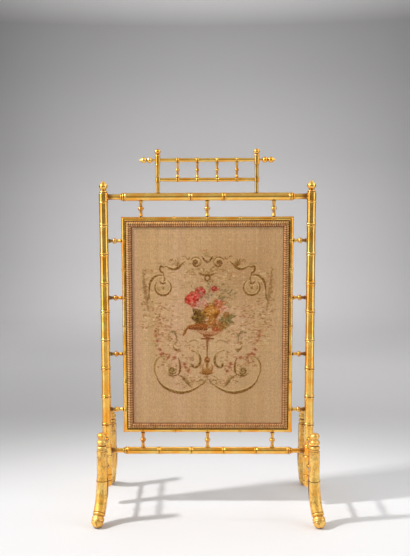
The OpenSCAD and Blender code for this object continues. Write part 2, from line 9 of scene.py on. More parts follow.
import bpy
import numpy as np
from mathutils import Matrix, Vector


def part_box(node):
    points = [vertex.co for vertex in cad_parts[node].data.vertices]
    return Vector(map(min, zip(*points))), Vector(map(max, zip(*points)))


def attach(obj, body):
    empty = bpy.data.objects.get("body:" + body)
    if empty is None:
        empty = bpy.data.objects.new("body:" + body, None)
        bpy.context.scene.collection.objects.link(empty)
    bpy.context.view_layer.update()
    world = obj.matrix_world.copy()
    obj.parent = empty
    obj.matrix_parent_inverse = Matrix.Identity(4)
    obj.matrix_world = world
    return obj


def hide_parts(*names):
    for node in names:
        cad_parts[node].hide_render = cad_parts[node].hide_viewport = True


MM = 0.001

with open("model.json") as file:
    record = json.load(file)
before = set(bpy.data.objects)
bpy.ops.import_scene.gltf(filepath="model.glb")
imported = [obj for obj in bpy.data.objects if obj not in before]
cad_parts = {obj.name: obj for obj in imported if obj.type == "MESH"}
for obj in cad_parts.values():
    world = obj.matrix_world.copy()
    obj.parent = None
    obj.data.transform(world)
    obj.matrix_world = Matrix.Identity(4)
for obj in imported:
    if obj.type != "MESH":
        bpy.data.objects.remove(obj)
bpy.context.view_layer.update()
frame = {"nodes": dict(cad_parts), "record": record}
nodes = frame["nodes"]


def linear(rgb):
    """Display colour, 0 to 255, to scene-linear."""
    c = np.asarray(rgb, float) / 255
    return np.where(c <= 0.04045, c / 12.92, ((c + 0.055) / 1.055) ** 2.4)


def rgba(rgb):
    return (*linear(rgb), 1)


# Camera: the photograph's place and framing


CAMERA_PLACE = (-0.0216, -2.600, 0.997)
# Sensor width and focal length in millimetres, and sideways shift as a share of the sensor
CAMERA_SENSOR = 36
CAMERA_LENS = 58.15
CAMERA_SHIFT = 0.0379
# Degrees that the camera looks down, is rolled, and is turned to the left
CAMERA_PITCH = 6.83
CAMERA_ROLL = 0.25
CAMERA_PAN = 1.0


def make_camera():
    data = bpy.data.cameras.new("camera")
    data.sensor_width = CAMERA_SENSOR
    data.lens = CAMERA_LENS
    data.shift_x = CAMERA_SHIFT
    cam = bpy.data.objects.new("camera", data)
    cam.location = CAMERA_PLACE
    cam.rotation_euler = [math.radians(v) for v in (90 - CAMERA_PITCH, CAMERA_ROLL, CAMERA_PAN)]
    bpy.context.scene.collection.objects.link(cam)
    bpy.context.scene.camera = cam


# Materials


class Shader:
    """A surface material with short ways to add nodes and join them."""

    def __init__(self, name):
        self.material = bpy.data.materials.new(name)
        self.material.use_nodes = True
        self.tree = self.material.node_tree
        self.tree.nodes.clear()
        self.bsdf = self.add("BsdfPrincipled")
        out = self.add("OutputMaterial")
        self.tree.links.new(self.bsdf.outputs[0], out.inputs["Surface"])
        self.place = self.add("TexCoord").outputs["Object"]

    def add(self, kind, settings=None, **values):
        made = self.tree.nodes.new("ShaderNode" + kind)
        for key, value in (settings or {}).items():
            setattr(made, key, value)
        for key, value in values.items():
            self.put(made.inputs[key.replace("_", " ")], value)
        return made

    def put(self, socket, value):
        if isinstance(value, bpy.types.NodeSocket):
            self.tree.links.new(value, socket)
        else:
            socket.default_value = value

    def surface(self, **values):
        """Values or links for the inputs of the surface itself."""
        for key, value in values.items():
            self.put(self.bsdf.inputs[key.replace("_", " ")], value)

    def stretched(self, scale):
        return self.add("Mapping", Vector=self.place, Scale=scale).outputs[0]

    def noise(self, scale, detail=3, rough=0.5, warp=0, stretch=None):
        place = self.stretched(stretch) if stretch else self.place
        made = self.add("TexNoise", Vector=place, Scale=scale, Detail=detail,
                        Roughness=rough, Distortion=warp)
        return made.outputs[0]

    def math(self, operation, a, b=0.0):
        return self.pair("Math", operation, a, b).outputs[0]

    def vector(self, operation, a, b):
        return self.pair("VectorMath", operation, a, b).outputs[0]

    def pair(self, kind, operation, a, b):
        made = self.add(kind, {"operation": operation})
        self.put(made.inputs[0], a)
        self.put(made.inputs[1], b)
        return made

    def span(self, value, low, high, to_low=0.0, to_high=1.0):
        """value from low..high to to_low..to_high with soft ends."""
        made = self.add("MapRange", {"interpolation_type": "SMOOTHSTEP"}, Value=value)
        for place, number in enumerate((low, high, to_low, to_high), 1):
            made.inputs[place].default_value = number
        return made.outputs[0]

    def distance(self, place, point):
        return self.pair("VectorMath", "DISTANCE", place, point).outputs["Value"]

    def mix(self, share, a, b, blend="MIX"):
        made = self.add("Mix", {"data_type": "RGBA", "blend_type": blend})
        self.put(made.inputs[0], share)
        self.put(made.inputs[6], a)
        self.put(made.inputs[7], b)
        return made.outputs[2]

    def dim(self, colour, share):
        """colour times the grey level share."""
        grey = self.add("CombineColor", Red=share, Green=share, Blue=share).outputs[0]
        return self.mix(1.0, colour, grey, "MULTIPLY")

    def occlusion(self, reach):
        """1 in the open, less in corners and grooves closer than reach."""
        made = self.add("AmbientOcclusion", {"samples": 6}, Distance=reach)
        return made.outputs["AO"]

    def bump(self, height, distance, strength):
        return self.add("Bump", Height=height, Distance=distance, Strength=strength).outputs[0]


# Distances from the middle between which painted shade darkens the rails' ends towards the posts,
# and how far
JOINT_SHADE = (0.262, 0.2855)
JOINT_SHADE_DARK = 0.9
# Reach within which grooves and creases get painted shade
CREASE_SHADE_REACH = 0.0034


def gilding(name, bright, deep, bole, smooth, rough, worn, cracked, uneven, mottled):
    """Gold leaf over bole: clouded tone, worn spots and fine crackle, with painted shade in
    grooves, creases and where rails meet the posts.

    bright, deep and bole are colours, smooth to rough is the roughness, uneven the bumps, and
    worn, cracked and mottled are shares of bare bole in patches, cracks and speckles.
    """
    s = Shader(name)
    cloud = s.noise(26, 4, 0.6)
    fleck = s.noise(210, 3, 0.6)
    tone = s.mix(s.span(cloud, 0.32, 0.68), rgba(deep), rgba(bright))
    tone = s.mix(s.span(fleck, 0.35, 0.75, 0, 0.12), tone, rgba(deep))
    # Painted shade: the bole's dark where occlusion finds a groove or a crease
    groove = s.span(s.occlusion(CREASE_SHADE_REACH), 0.66, 0.95, 1, 0)
    patches = s.span(s.noise(58, 5, 0.7, 0.6), 0.62 - 0.1 * worn, 0.72 - 0.08 * worn)
    wear_and_shade = s.math("MAXIMUM", groove, s.math("MULTIPLY", patches, worn))
    speckle = s.span(s.noise(85, 6, 0.75, 0.8, stretch=(1, 1, 0.6)), 0.5, 0.62, 0, mottled)
    wear_and_shade = s.math("MAXIMUM", wear_and_shade, speckle)
    # Painted shade where rails and spindles enter the posts
    out = s.math("ABSOLUTE", s.add("SeparateXYZ", Vector=s.place).outputs["X"])
    joint_shade = s.math("MULTIPLY", s.span(out, *JOINT_SHADE, 0, JOINT_SHADE_DARK),
                   s.math("LESS_THAN", out, JOINT_SHADE[1]))
    wear_and_shade = s.math("MAXIMUM", wear_and_shade, joint_shade)
    if cracked:
        cells = s.add("TexVoronoi", {"feature": "DISTANCE_TO_EDGE"},
                      Vector=s.stretched((1, 1, 0.45)), Scale=130)
        cracks = s.span(cells.outputs[0], 0.0, 0.06, cracked, 0)
        cracks = s.math("MULTIPLY", cracks, s.span(s.noise(30, 2), 0.45, 0.6))
        wear_and_shade = s.math("MAXIMUM", wear_and_shade, cracks)
    roughness = s.span(s.noise(90, 4, 0.6), 0.3, 0.7, smooth, rough)
    roughness = s.math("ADD", roughness, s.math("MULTIPLY", wear_and_shade, 0.2))
    height = s.math("ADD", s.noise(75, 3, 0.5), s.math("MULTIPLY", fleck, 0.25))
    height = s.math("SUBTRACT", height, s.math("MULTIPLY", wear_and_shade, 0.3))
    # Bare bole shows in worn patches, speckles and cracks, and stands in as painted shade in
    # grooves and at the joints
    s.surface(Base_Color=s.mix(wear_and_shade, tone, rgba(bole)), Roughness=roughness,
              Normal=s.bump(height, 0.0008, uneven))
    s.surface(Metallic=0.96, Coat_Weight=0.7, Coat_Roughness=0.14)
    return s.material


# Mesh attribute that holds the colours of a cloth, with the braids' painted shade
DYE_AND_SHADE = "dye_and_shade"
# Furthest that threads wander to a side
THREAD_SWAY = 0.0012


def cloth(name, ribs, threads, depth, fuzz=0.04):
    """Woven cloth coloured by its mesh. ribs and threads are the pitches up and across."""
    s = Shader(name)
    colour = s.add("Attribute", {"attribute_name": DYE_AND_SHADE}).outputs["Color"]
    slub = s.noise(420, 3, 0.6, stretch=(1, 1, 0.35))
    colour = s.mix(s.span(slub, 0.3, 0.7, 0, 0.22), colour, rgba((120, 92, 60)), "MULTIPLY")
    warp = s.add("TexNoise", Vector=s.place, Scale=25.0, Detail=2.0)
    sway = s.add("VectorMath", {"operation": "SCALE"}, Scale=THREAD_SWAY)
    s.put(sway.inputs[0], warp.outputs["Color"])
    split = s.add("SeparateXYZ", Vector=s.vector("ADD", s.place, sway.outputs[0]))
    rib = s.math("SINE", s.math("MULTIPLY", split.outputs["Z"], 2 * math.pi / ribs))
    thread = s.math("SINE", s.math("MULTIPLY", split.outputs["X"], 2 * math.pi / threads))
    height = s.math("ADD", rib, s.math("MULTIPLY", thread, 0.45))
    height = s.math("ADD", height, slub)
    s.surface(Base_Color=colour, Normal=s.bump(height, depth, 0.7), Roughness=0.85)
    s.surface(Specular_IOR_Level=0.2, Sheen_Weight=fuzz, Sheen_Roughness=0.5)
    return s.material


def plain(name, low, high, roughness, scale, stretch=None, metallic=0.0):
    """Two tones mixed by a stretched noise, for bare wood, canvas and iron."""
    s = Shader(name)
    grain = s.noise(scale, 5, 0.6, 0.4, stretch=stretch)
    s.surface(Base_Color=s.mix(s.span(grain, 0.3, 0.7), rgba(low), rgba(high)),
              Roughness=s.span(grain, 0.3, 0.7, roughness + 0.1, roughness - 0.1),
              Normal=s.bump(grain, 0.0006, 0.4), Metallic=metallic)
    return s.material


# Meshes


def add_mesh(name, points, faces, material, colours=None):
    """A smooth mesh object, with a colour for each point if given."""
    mesh = bpy.data.meshes.new(name)
    mesh.from_pydata(points, [], faces)
    if colours is not None:
        layer = mesh.attributes.new(DYE_AND_SHADE, "FLOAT_COLOR", "POINT")
        layer.data.foreach_set("color", np.c_[colours, np.ones(len(colours))].ravel())
    mesh.materials.append(material)
    mesh.polygons.foreach_set("use_smooth", [True] * len(mesh.polygons))
    mesh.update()
    made = bpy.data.objects.new(name, mesh)
    bpy.context.scene.collection.objects.link(made)
    return made


# Stage and lights: a pale floor that turns up into a grey wall all round


# Radius of the level floor, radius of its turn into the wall, and height of the wall
FLOOR_R = 3.4
TURN_R = 0.8
WALL_TOP = 2.5
# Grey levels of the paper by the way along the floor and up the wall, a painted fall-off of light
# and shade, and the way they span
PAPER_LIGHT_FALLOFF = ((0.8, 196), (1.2, 217), (2.1, 237), (3.4, 247), (4.4, 219), (5.0, 207), (5.3, 190),
               (5.9, 170), (6.25, 163), (6.5, 220))
PAPER_REACH = 8
PAPER_TINT = np.array((1, 0.993, 0.995))
# Painted pool of light on the floor in front of the screen: its colour and its middle
FLOOR_LIGHT_POOL = (218, 218, 219)
FLOOR_LIGHT_POOL_AT = (0, -1.4, 0)
# Middle of the painted pool of light on the wall behind the screen, the palest part of the
# backdrop
WALL_LIGHT_POOL = (0.0, 4.2, 1.1)


def stage_shape(sides=96, turn_steps=12):
    """Points and faces of a round floor whose rim turns up into a wall."""
    rings = [(r, 0.0) for r in (0.25, 0.6, 1.0, 1.6, 2.4, FLOOR_R)]
    for i in range(1, turn_steps + 1):
        a = math.radians(90 * i / turn_steps)
        rings.append((FLOOR_R + TURN_R * math.sin(a), TURN_R * (1 - math.cos(a))))
    rings += [(FLOOR_R + TURN_R, z) for z in (1.8, WALL_TOP)]
    points = [(0.0, 0.0, 0.0)]
    for r, z in rings:
        for k in range(sides):
            a = 2 * math.pi * k / sides
            points.append((r * math.cos(a), r * math.sin(a), z))
    faces = [(0, 1 + k, 1 + (k + 1) % sides) for k in range(sides)]
    for ring in range(len(rings) - 1):
        a, b = 1 + ring * sides, 1 + (ring + 1) * sides
        for k in range(sides):
            n = (k + 1) % sides
            faces.append((a + k, b + k, b + n, a + n))
    return points, faces


def stage_paper():
    """Grey paper with painted light and shade: tones that fall off along the floor and up the
    wall, and painted pools of light on the floor and the wall.
    """
    s = Shader("studio_paper")
    split = s.add("SeparateXYZ", Vector=s.place)
    across = split.outputs["X"]
    flat = s.vector("MULTIPLY", s.place, (1, 1, 0))
    light_pool = s.span(s.distance(flat, FLOOR_LIGHT_POOL_AT), 1.5, 2.6, 1, 0)
    way = s.math("ADD", s.distance(flat, (0, 0, 0)), split.outputs["Z"])
    way = s.math("MULTIPLY", way, 1 / PAPER_REACH)
    grey = s.add("ValToRGB")
    s.put(grey.inputs[0], way)
    ramp = grey.color_ramp.elements
    while len(ramp) < len(PAPER_LIGHT_FALLOFF):
        ramp.new(0.5)
    for stop, (at, level) in zip(ramp, PAPER_LIGHT_FALLOFF):
        stop.position = at / PAPER_REACH
        stop.color = rgba(level * PAPER_TINT)
    # Painted shade: the wall darkens away from its painted pool of light and towards both sides
    far = s.span(s.distance(s.place, WALL_LIGHT_POOL), 0.2, 2.4, 1.0, 0.52)
    sideways = s.math("ABSOLUTE", s.math("SUBTRACT", across, 0.1))
    far = s.math("MULTIPLY", far, s.span(sideways, 1.1, 2.3, 1.0, 0.78))
    paper = s.mix(light_pool, s.dim(grey.outputs[0], far), rgba(FLOOR_LIGHT_POOL))
    # Painted light that evens out the key light's fall-off: the floor is darker on the left and
    # paler to the right
    side = s.span(across, -1.5, 0.7, -0.34, 0.12)
    side = s.math("MULTIPLY", side, s.span(way, 0.9 / PAPER_REACH, 3.2 / PAPER_REACH, 1, 0))
    s.surface(Base_Color=s.dim(paper, s.math("ADD", side, 1.0)), Roughness=0.9)
    s.surface(Specular_IOR_Level=0.1)
    return s.material


def make_stage():
    stage = add_mesh("studio_floor", *stage_shape(), stage_paper())


def area_light(name, place, aim, size, power, colour=(1, 1, 1), height=None):
    """A lamp at place that shines towards aim."""
    data = bpy.data.lights.new(name, "AREA")
    data.energy = power
    data.color = colour
    data.size = size
    if height:
        data.shape = "RECTANGLE"
        data.size_y = height
    light = bpy.data.objects.new(name, data)
    light.location = place
    light.visible_camera = False
    away = np.array(place, float) - np.array(aim, float)
    flat = math.hypot(away[0], away[1])
    light.rotation_euler = (math.atan2(flat, away[2]), 0, math.atan2(away[0], -away[1]))
    bpy.context.scene.collection.objects.link(light)


# Strength of the sky by how far its direction is sideways: from, to, weakest, strongest
SKY = (0.25, 0.8, 0.5, 1.7)


def make_lights():
    """A small key high on the left, a softbox on each side and a lamp for the backdrop."""
    area_light("key", (-1.839, -0.530, 2.214), (0.0, 0.0, 0.45), 0.16, 62, (1.0, 0.99, 0.982))
    area_light("softbox_left", (-1.9, -0.7, 0.9), (0.0, 0.0, 0.6), 1.3, 12, height=1.9)
    area_light("softbox_right", (1.9, -0.7, 0.9), (0.0, 0.0, 0.6), 1.1, 9, height=1.9)
    area_light("backdrop", (0.3, 1.6, 2.3), (0.3, 3.4, 0.3), 1.6, 26)


def make_sky():
    """White light from all round that is stronger on the left and the right."""
    world = bpy.data.worlds.new("studio")
    world.use_nodes = True
    tree = world.node_tree
    where = tree.nodes.new("ShaderNodeTexCoord")
    split = tree.nodes.new("ShaderNodeSeparateXYZ")
    level = tree.nodes.new("ShaderNodeMapRange")
    sideways = tree.nodes.new("ShaderNodeMath")
    sideways.operation = "ABSOLUTE"
    for place, number in enumerate(SKY, 1):
        level.inputs[place].default_value = number
    tree.links.new(where.outputs["Generated"], split.inputs[0])
    tree.links.new(split.outputs["X"], sideways.inputs[0])
    tree.links.new(sideways.outputs[0], level.inputs["Value"])
    tree.links.new(level.outputs[0], tree.nodes["Background"].inputs["Strength"])
    tree.nodes["Background"].inputs["Color"].default_value = (1, 1, 1, 1)
    bpy.context.scene.world = world


# Painting on the woven cloth


def spline(points, steps=10):
    """Smooth path through the points."""
    p = np.asarray(points, float)
    p = np.vstack([2 * p[0] - p[1], p, 2 * p[-1] - p[-2]])
    out = []
    for i in range(1, len(p) - 2):
        t = np.linspace(0, 1, steps, endpoint=False)[:, None]
        a, b, c, d = p[i - 1], p[i], p[i + 1], p[i + 2]
        out.append(0.5 * (2 * b + (c - a) * t + (2 * a - 5 * b + 4 * c - d) * t**2
                          + (3 * b - 3 * c + d - a) * t**3))
    return np.vstack(out + [p[-2][None]])


def coil(x, z, r0, r1, from_deg, to_deg, steps=40):
    """Path that winds round a middle from one angle and radius to another."""
    a = np.radians(np.linspace(from_deg, to_deg, steps))
    r = np.linspace(r0, r1, steps)
    return np.c_[x + r * np.cos(a), z + r * np.sin(a)]


def both(points, side):
    """The points, mirrored for side -1."""
    p = np.array(points, float)
    p[:, 0] *= side
    return p


def polar(x, z, reach, degrees):
    """The point at a distance and an angle from x, z."""
    a = math.radians(degrees)
    return x + reach * math.cos(a), z + reach * math.sin(a)


def turned(gx, gz, x, z, degrees):
    """Places along and across a direction, measured from x, z."""
    c, s = math.cos(math.radians(degrees)), math.sin(math.radians(degrees))
    return (gx - x) * c + (gz - z) * s, -(gx - x) * s + (gz - z) * c


# Factors on the width and strength that each stroke is given
FATTER = 1.65
STRONGER = 1.3
# Side of a stitch and of a tuft in millimetres, and the least and most that a stitch takes up
STITCH = 2.4
TUFT = 3.6
STITCH_COVER = (0.5, 1.5)


class Weave:
    """Colours of a woven cloth on a flat grid, in millimetres from the cloth's middle."""

    def __init__(self, width, height, pitch, ground):
        self.nx = int(round(width / pitch)) + 1
        self.nz = int(round(height / pitch)) + 1
        self.x = np.linspace(-width / 2, width / 2, self.nx)
        self.z = np.linspace(-height / 2, height / 2, self.nz)
        self.pitch = pitch
        self.rgb = np.tile(linear(ground), (self.nz, self.nx, 1))
        rng = np.random.default_rng(2)
        self.grit = self.squares(STITCH, lambda shape: rng.uniform(*STITCH_COVER, shape))

    def squares(self, size, draw):
        """Values for the grid's points that stay the same over squares of a size."""
        cell = max(1, int(round(size / self.pitch)))
        values = draw((self.nz // cell + 1, self.nx // cell + 1))
        return np.repeat(np.repeat(values, cell, 0), cell, 1)[:self.nz, :self.nx]

    def window(self, low_x, high_x, low_z, high_z):
        """The part of the grid inside limits: its slices, and its places along X and Z."""
        i = np.searchsorted(self.x, (low_x, high_x))
        k = np.searchsorted(self.z, (low_z, high_z))
        cut = (slice(k[0], k[1]), slice(i[0], i[1]))
        return cut, self.x[None, cut[1]], self.z[cut[0], None]

    def lay(self, cut, cover, colour, broken=True):
        """Colour laid over a window, broken up by the stitches if asked."""
        if broken:
            cover = np.clip(cover * self.grit[cut], 0, 1)
        cover = cover[..., None]
        self.rgb[cut] = self.rgb[cut] * (1 - cover) + colour * cover

    def stroke(self, path, width, colour, strength=0.8, thin=(0.25, 0.25), soft=1.6):
        """A line of thread colour along a path, thinner towards its ends."""
        width = width * FATTER
        strength = min(1.0, strength * STRONGER)
        path = np.asarray(path, float)
        steps = np.r_[0, np.cumsum(np.hypot(*np.diff(path, axis=0).T))]
        t = steps / steps[-1]
        half = 0.5 * width * (1 - (1 - thin[0]) * np.clip(1 - 2 * t, 0, 1) ** 1.5
                              - (1 - thin[1]) * np.clip(2 * t - 1, 0, 1) ** 1.5)
        edge = width + soft
        cut, gx, gz = self.window(path[:, 0].min() - edge, path[:, 0].max() + edge,
                                  path[:, 1].min() - edge, path[:, 1].max() + edge)
        cover = np.zeros((gz.shape[0], gx.shape[1]))
        for (ax, az), (bx, bz), ha, hb in zip(path[:-1], path[1:], half[:-1], half[1:]):
            dx, dz = bx - ax, bz - az
            u = np.clip(((gx - ax) * dx + (gz - az) * dz) / max(dx * dx + dz * dz, 1e-9), 0, 1)
            far = np.hypot(gx - ax - u * dx, gz - az - u * dz)
            cover = np.maximum(cover, np.clip((ha + (hb - ha) * u - far) / soft + 0.5, 0, 1))
        self.lay(cut, cover * strength, linear(colour))

    def leaf(self, x, z, length, width, degrees, colour, strength=0.8, vein=None):
        """A pointed leaf from its foot at x, z, with a lighter or darker vein."""
        cut, gx, gz = self.window(x - length, x + length, z - length, z + length)
        u, v = turned(gx, gz, x, z, degrees)
        u = u / length
        half = 0.5 * width * np.sin(np.pi * np.clip(u, 0, 1) ** 0.8)
        cover = np.clip((half - np.abs(v)) / 1.2 + 0.5, 0, 1) * (u > 0) * (u < 1)
        self.lay(cut, cover * strength, linear(colour))
        if vein is not None:
            line = np.clip((0.7 - np.abs(v)) / 1.0 + 0.3, 0, 1) * (u > 0.05) * (u < 0.9)
            self.lay(cut, line * cover * strength, linear(vein))

    def spot(self, x, z, rx, rz, colour, strength=0.8, soft=1.5, degrees=0):
        """An oval of one colour."""
        far = max(rx, rz) + soft
        cut, gx, gz = self.window(x - far, x + far, z - far, z + far)
        u, v = turned(gx, gz, x, z, degrees)
        cover = np.clip((1 - np.hypot(u / rx, v / rz)) * min(rx, rz) / soft + 0.5, 0, 1)
        self.lay(cut, cover * strength, linear(colour))

    def glow(self, x, z, rx, rz, colour, strength):
        """A broad soft tint."""
        cut, gx, gz = self.window(x - 3 * rx, x + 3 * rx, z - 3 * rz, z + 3 * rz)
        cover = np.exp(-((gx - x) / rx) ** 2 - ((gz - z) / rz) ** 2)
        self.lay(cut, cover * strength, linear(colour), broken=False)

    def bloom(self, x, z, r, petals, tones, turn=0.0, whirl=2.5, strength=0.95):
        """A flower with a lobed edge and whirling petals, its tones from the heart outwards."""
        cut, gx, gz = self.window(x - 1.3 * r, x + 1.3 * r, z - 1.3 * r, z + 1.3 * r)
        far = np.hypot(gx - x, gz - z)
        angle = np.arctan2(gz - z, gx - x) + turn
        edge = r * (0.9 + 0.12 * np.cos(petals * angle) + 0.05 * np.cos(2 * petals * angle + 1))
        cover = np.clip((edge - far) / 1.6 + 0.5, 0, 1)
        v = np.clip(far / edge, 0, 1)
        swirl = 0.5 + 0.5 * np.cos(petals * angle + whirl * 2 * np.pi * v)
        tone = np.clip(v * 0.75 + 0.45 * swirl * (0.3 + 0.7 * v) - 0.05, 0, 1) * (len(tones) - 1)
        low = np.minimum(tone.astype(int), len(tones) - 2)
        share = (tone - low)[..., None]
        stops = np.array([linear(t) for t in tones])
        colour = stops[low] * (1 - share) + stops[low + 1] * share
        self.lay(cut, cover * strength, colour)

    def dabs(self, x, z, rx, rz, tones, count, seed, strength=0.7, size=(2.0, 4.5)):
        """Small flat touches of several colours, denser in the middle of an oval."""
        rng = np.random.default_rng(seed)
        for _ in range(count):
            a, far = rng.uniform(0, 2 * math.pi), rng.uniform(0, 1) ** 0.7
            half = rng.uniform(*size)
            self.spot(x + rx * far * math.cos(a), z + rz * far * math.sin(a), half, half * 0.6,
                      tones[rng.integers(len(tones))], strength * rng.uniform(0.5, 1), 1.2,
                      rng.uniform(-40, 40))

    def rose(self, x, z, r, tones, seed, strength=0.9):
        """A full rose: a ragged dark base under petals that are paler towards one side."""
        rng = np.random.default_rng(seed)
        dark, *lit = [np.array(t, float) for t in tones]
        for k in range(9):
            a = 40 * k + rng.uniform(-12, 12)
            reach = r * rng.uniform(0.35, 0.75)
            self.spot(*polar(x, z, reach, a), r * 0.42, r * 0.34, lit[0] * 0.5 + dark * 0.5,
                      strength * 0.8, degrees=a + 90)
        self.spot(x, z, r * 0.8, r * 0.75, dark, strength)
        for ring, count in ((0.68, 8), (0.4, 6), (0.14, 3)):
            for k in range(count):
                a = 360 * (k + rng.uniform(-0.25, 0.25)) / count + 30 * ring
                reach = r * ring * rng.uniform(0.85, 1.15)
                px, pz = polar(0, 0, reach, a)
                side = 0.5 + 0.35 * (pz - px) / r + rng.uniform(-0.35, 0.35)
                tone = lit[int(np.clip(side, 0, 0.99) * len(lit))]
                self.spot(x + px, z + pz, r * rng.uniform(0.22, 0.32), r * rng.uniform(0.11, 0.17),
                          tone, strength * rng.uniform(0.7, 1), 1.2, a + 90 + rng.uniform(-25, 25))


GROUND = (207, 166, 117)
OLIVE = (112, 76, 26)
BROWN = (92, 50, 16)
PALE = (226, 190, 128)
MOSS = (84, 70, 26)
SAGE = (112, 102, 62)
ROSY = (186, 112, 82)
WINE = (126, 54, 34)


def pens(w, side):
    """Functions that draw a smooth line and a coil, mirrored for side -1."""
    def line(points, *rest, **more):
        w.stroke(spline(both(points, side)), *rest, **more)

    def wind(x, z, r0, r1, a0, a1, *rest, **more):
        w.stroke(both(coil(x, z, r0, r1, a0, a1), side), *rest, **more)

    return line, wind


def draw_scrolls(w):
    """Upper scrolls, roundels and the small leaves round them."""
    for side in (1, -1):
        line, wind = pens(w, side)
        # Upper arm, its hook and the great arc outside the roundel, drawn for the right
        arm = [(66, 191), (74, 183), (84, 173), (97, 168), (109, 171), (119, 177)]
        line([(x - 1, z + 3) for x, z in arm], 5, PALE, 0.45)
        line(arm, 4.6, OLIVE, 0.85)
        hook = [(119, 177), (128, 174), (135, 177), (138, 169), (135, 161), (129, 157), (126, 148)]
        line(hook, 3.6, OLIVE, 0.8)
        arc = [(126, 149), (139, 151), (151, 147), (161, 138), (167, 126), (169, 112), (170, 96)]
        line([(x - 2, z - 3) for x, z in arc], 4, PALE, 0.4)
        line(arc, 4.2, OLIVE, 0.8)
        line([(170, 100), (171, 86), (176, 74)], 3.4, OLIVE, 0.55)
        w.leaf(side * 169, 98, 26, 7, -90 + side * 14, SAGE, 0.45)
        # Roundel with a rosette
        wind(129, 115, 21, 21, 60, 400, 4, PALE, 0.4)
        wind(129, 115, 23.5, 23.5, 128, 402, 3.6, OLIVE, 0.85, thin=(0.3, 0.3))
        line([(126, 148), (124, 139), (128, 131)], 2.8, OLIVE, 0.7)
        line([(139, 134), (135, 128), (128, 126), (122, 130)], 3.2, BROWN, 0.6)
        w.bloom(side * 129, 113, 10.5, 6, (BROWN, OLIVE, PALE, (186, 146, 92)), 0.3, 0.4, 0.6)
        for k in range(9):
            x, z = polar(129, 115, 16.5, 200 + 20 * k)
            w.spot(side * x, z, 2.6, 1.6, (170, 132, 76), 0.5)
        # Spiral beside the palmette
        wind(33, 187, 17, 3, 30, 560, 3.4, OLIVE, 0.85, thin=(0.4, 0.7))
        wind(33, 187, 12.5, 12.5, 40, 210, 2.4, PALE, 0.5)
        w.spot(side * 34, 186, 5.5, 5, BROWN, 0.7)
        # Lines down to the palmette's heart, the shelf below and its ring
        line([(16, 206), (9, 195), (1, 187)], 3.2, BROWN, 0.75)
        line([(0, 150), (12, 151.5), (24, 157)], 3.4, OLIVE, 0.75, thin=(1, 0.2))
        line([(18, 176), (10, 168), (12, 158)], 2.4, OLIVE, 0.5)
        wind(0, 142, 7.5, 7.5, 80, 272, 2.8, OLIVE, 0.7, thin=(1, 1))
        # Leaf tufts over the arms
        for degrees, length in ((62, 17), (82, 26), (101, 24), (120, 20), (142, 15)):
            w.leaf(side * 87, 176, length, 5, 90 + side * (degrees - 100), OLIVE,
                   0.6 if side > 0 else 0.35)
        line([(96, 190), (103, 196), (110, 193), (107, 187)], 2, OLIVE, 0.4)
        line([(60, 200), (66, 206), (74, 204)], 2.2, OLIVE, 0.45)
        line([(50, 204), (55, 197), (61, 201)], 3, BROWN, 0.45)
        for k in range(6):
            w.leaf(side * (126 + 3 * k), 178 + k, 11 - k, 3.4, 90 + side * (20 - 12 * k), SAGE,
                   0.35)
        # Swag of small leaves under the spiral
        for k in range(9):
            w.leaf(side * (20 + 4.4 * k), 166 - 0.2 * (k - 4) ** 2, 8, 3.2,
                   90 - side * (50 + 8 * k), SAGE, 0.35)


def draw_lower_scrolls(w):
    """Scrolls, vines and hooks on both sides of the stem."""
    for side in (1, -1):
        line, wind = pens(w, side)
        # Great scroll along the bottom
        sweep = [(150, -148), (145, -162), (133, -178), (118, -188), (100, -195), (80, -199),
                 (60, -197), (42, -190), (28, -182), (16, -172)]
        line([(x, z + 4) for x, z in sweep], 5, PALE, 0.4)
        line(sweep, 5, OLIVE, 0.85)
        # Oval scroll above it and its leafy heart
        oval = [(152, -146), (155, -132), (154, -115), (148, -101), (138, -93), (122, -90)]
        line(oval, 4.6, OLIVE, 0.5, thin=(0.4, 0.3))
        line([(x - 3, z) for x, z in oval], 3, PALE, 0.4)
        line([(86, -94), (82, -106), (80, -120), (82, -136), (86, -146)], 4, OLIVE, 0.75)
        line([(118, -140), (108, -148), (94, -147), (84, -141)], 3, OLIVE, 0.65)
        wind(104, -132, 12, 3, 200, 620, 3, MOSS, 0.65, thin=(0.5, 0.8))
        for k in range(8):
            a = 45 * k + 20
            w.leaf(side * 104, -132, 14, 6, 90 + side * (a - 90), MOSS if k % 2 else OLIVE, 0.42,
                   PALE)
        line([(86, -146), (76, -150), (66, -160), (56, -174), (46, -184)], 4, MOSS, 0.5)
        for k in range(5):
            w.leaf(side * (74 - 7 * k), -154 - 7 * k, 13, 6, 90 + side * (60 - 26 * k), OLIVE,
                   0.4, PALE)
        # J scroll beside the stem
        line([(48, -72), (35, -76), (25, -86), (21, -99), (23, -112), (31, -121), (40, -122),
              (45, -116)], 4.2, OLIVE, 0.8, thin=(0.15, 0.8))
        line([(50, -69), (38, -72), (29, -80), (24, -92)], 3, PALE, 0.4)
        w.spot(side * 43, -117, 4, 4, BROWN, 0.55)
        # Small hooks and vines
        line([(101, -58), (97, -67), (89, -71), (81, -68)], 4.4, OLIVE, 0.6, thin=(0.2, 0.3))
        line([(101, -55), (92, -63), (84, -62)], 3, PALE, 0.5)
        line([(112, -20), (104, -14), (96, -18), (91, -32), (89, -52)], 2.6, SAGE, 0.6)
        for k in range(5):
            w.leaf(side * (108 - 5 * k), -18 - 3 * k, 9, 4, 90 + side * (70 - 30 * k), SAGE, 0.45)
        line([(60, -52), (48, -44), (34, -42), (24, -50)], 2.4, SAGE, 0.45)
        line([(16, -176), (10, -168), (4, -160)], 4, OLIVE, 0.5)
        line([(30, -166), (20, -160), (10, -162)], 3, SAGE, 0.45)


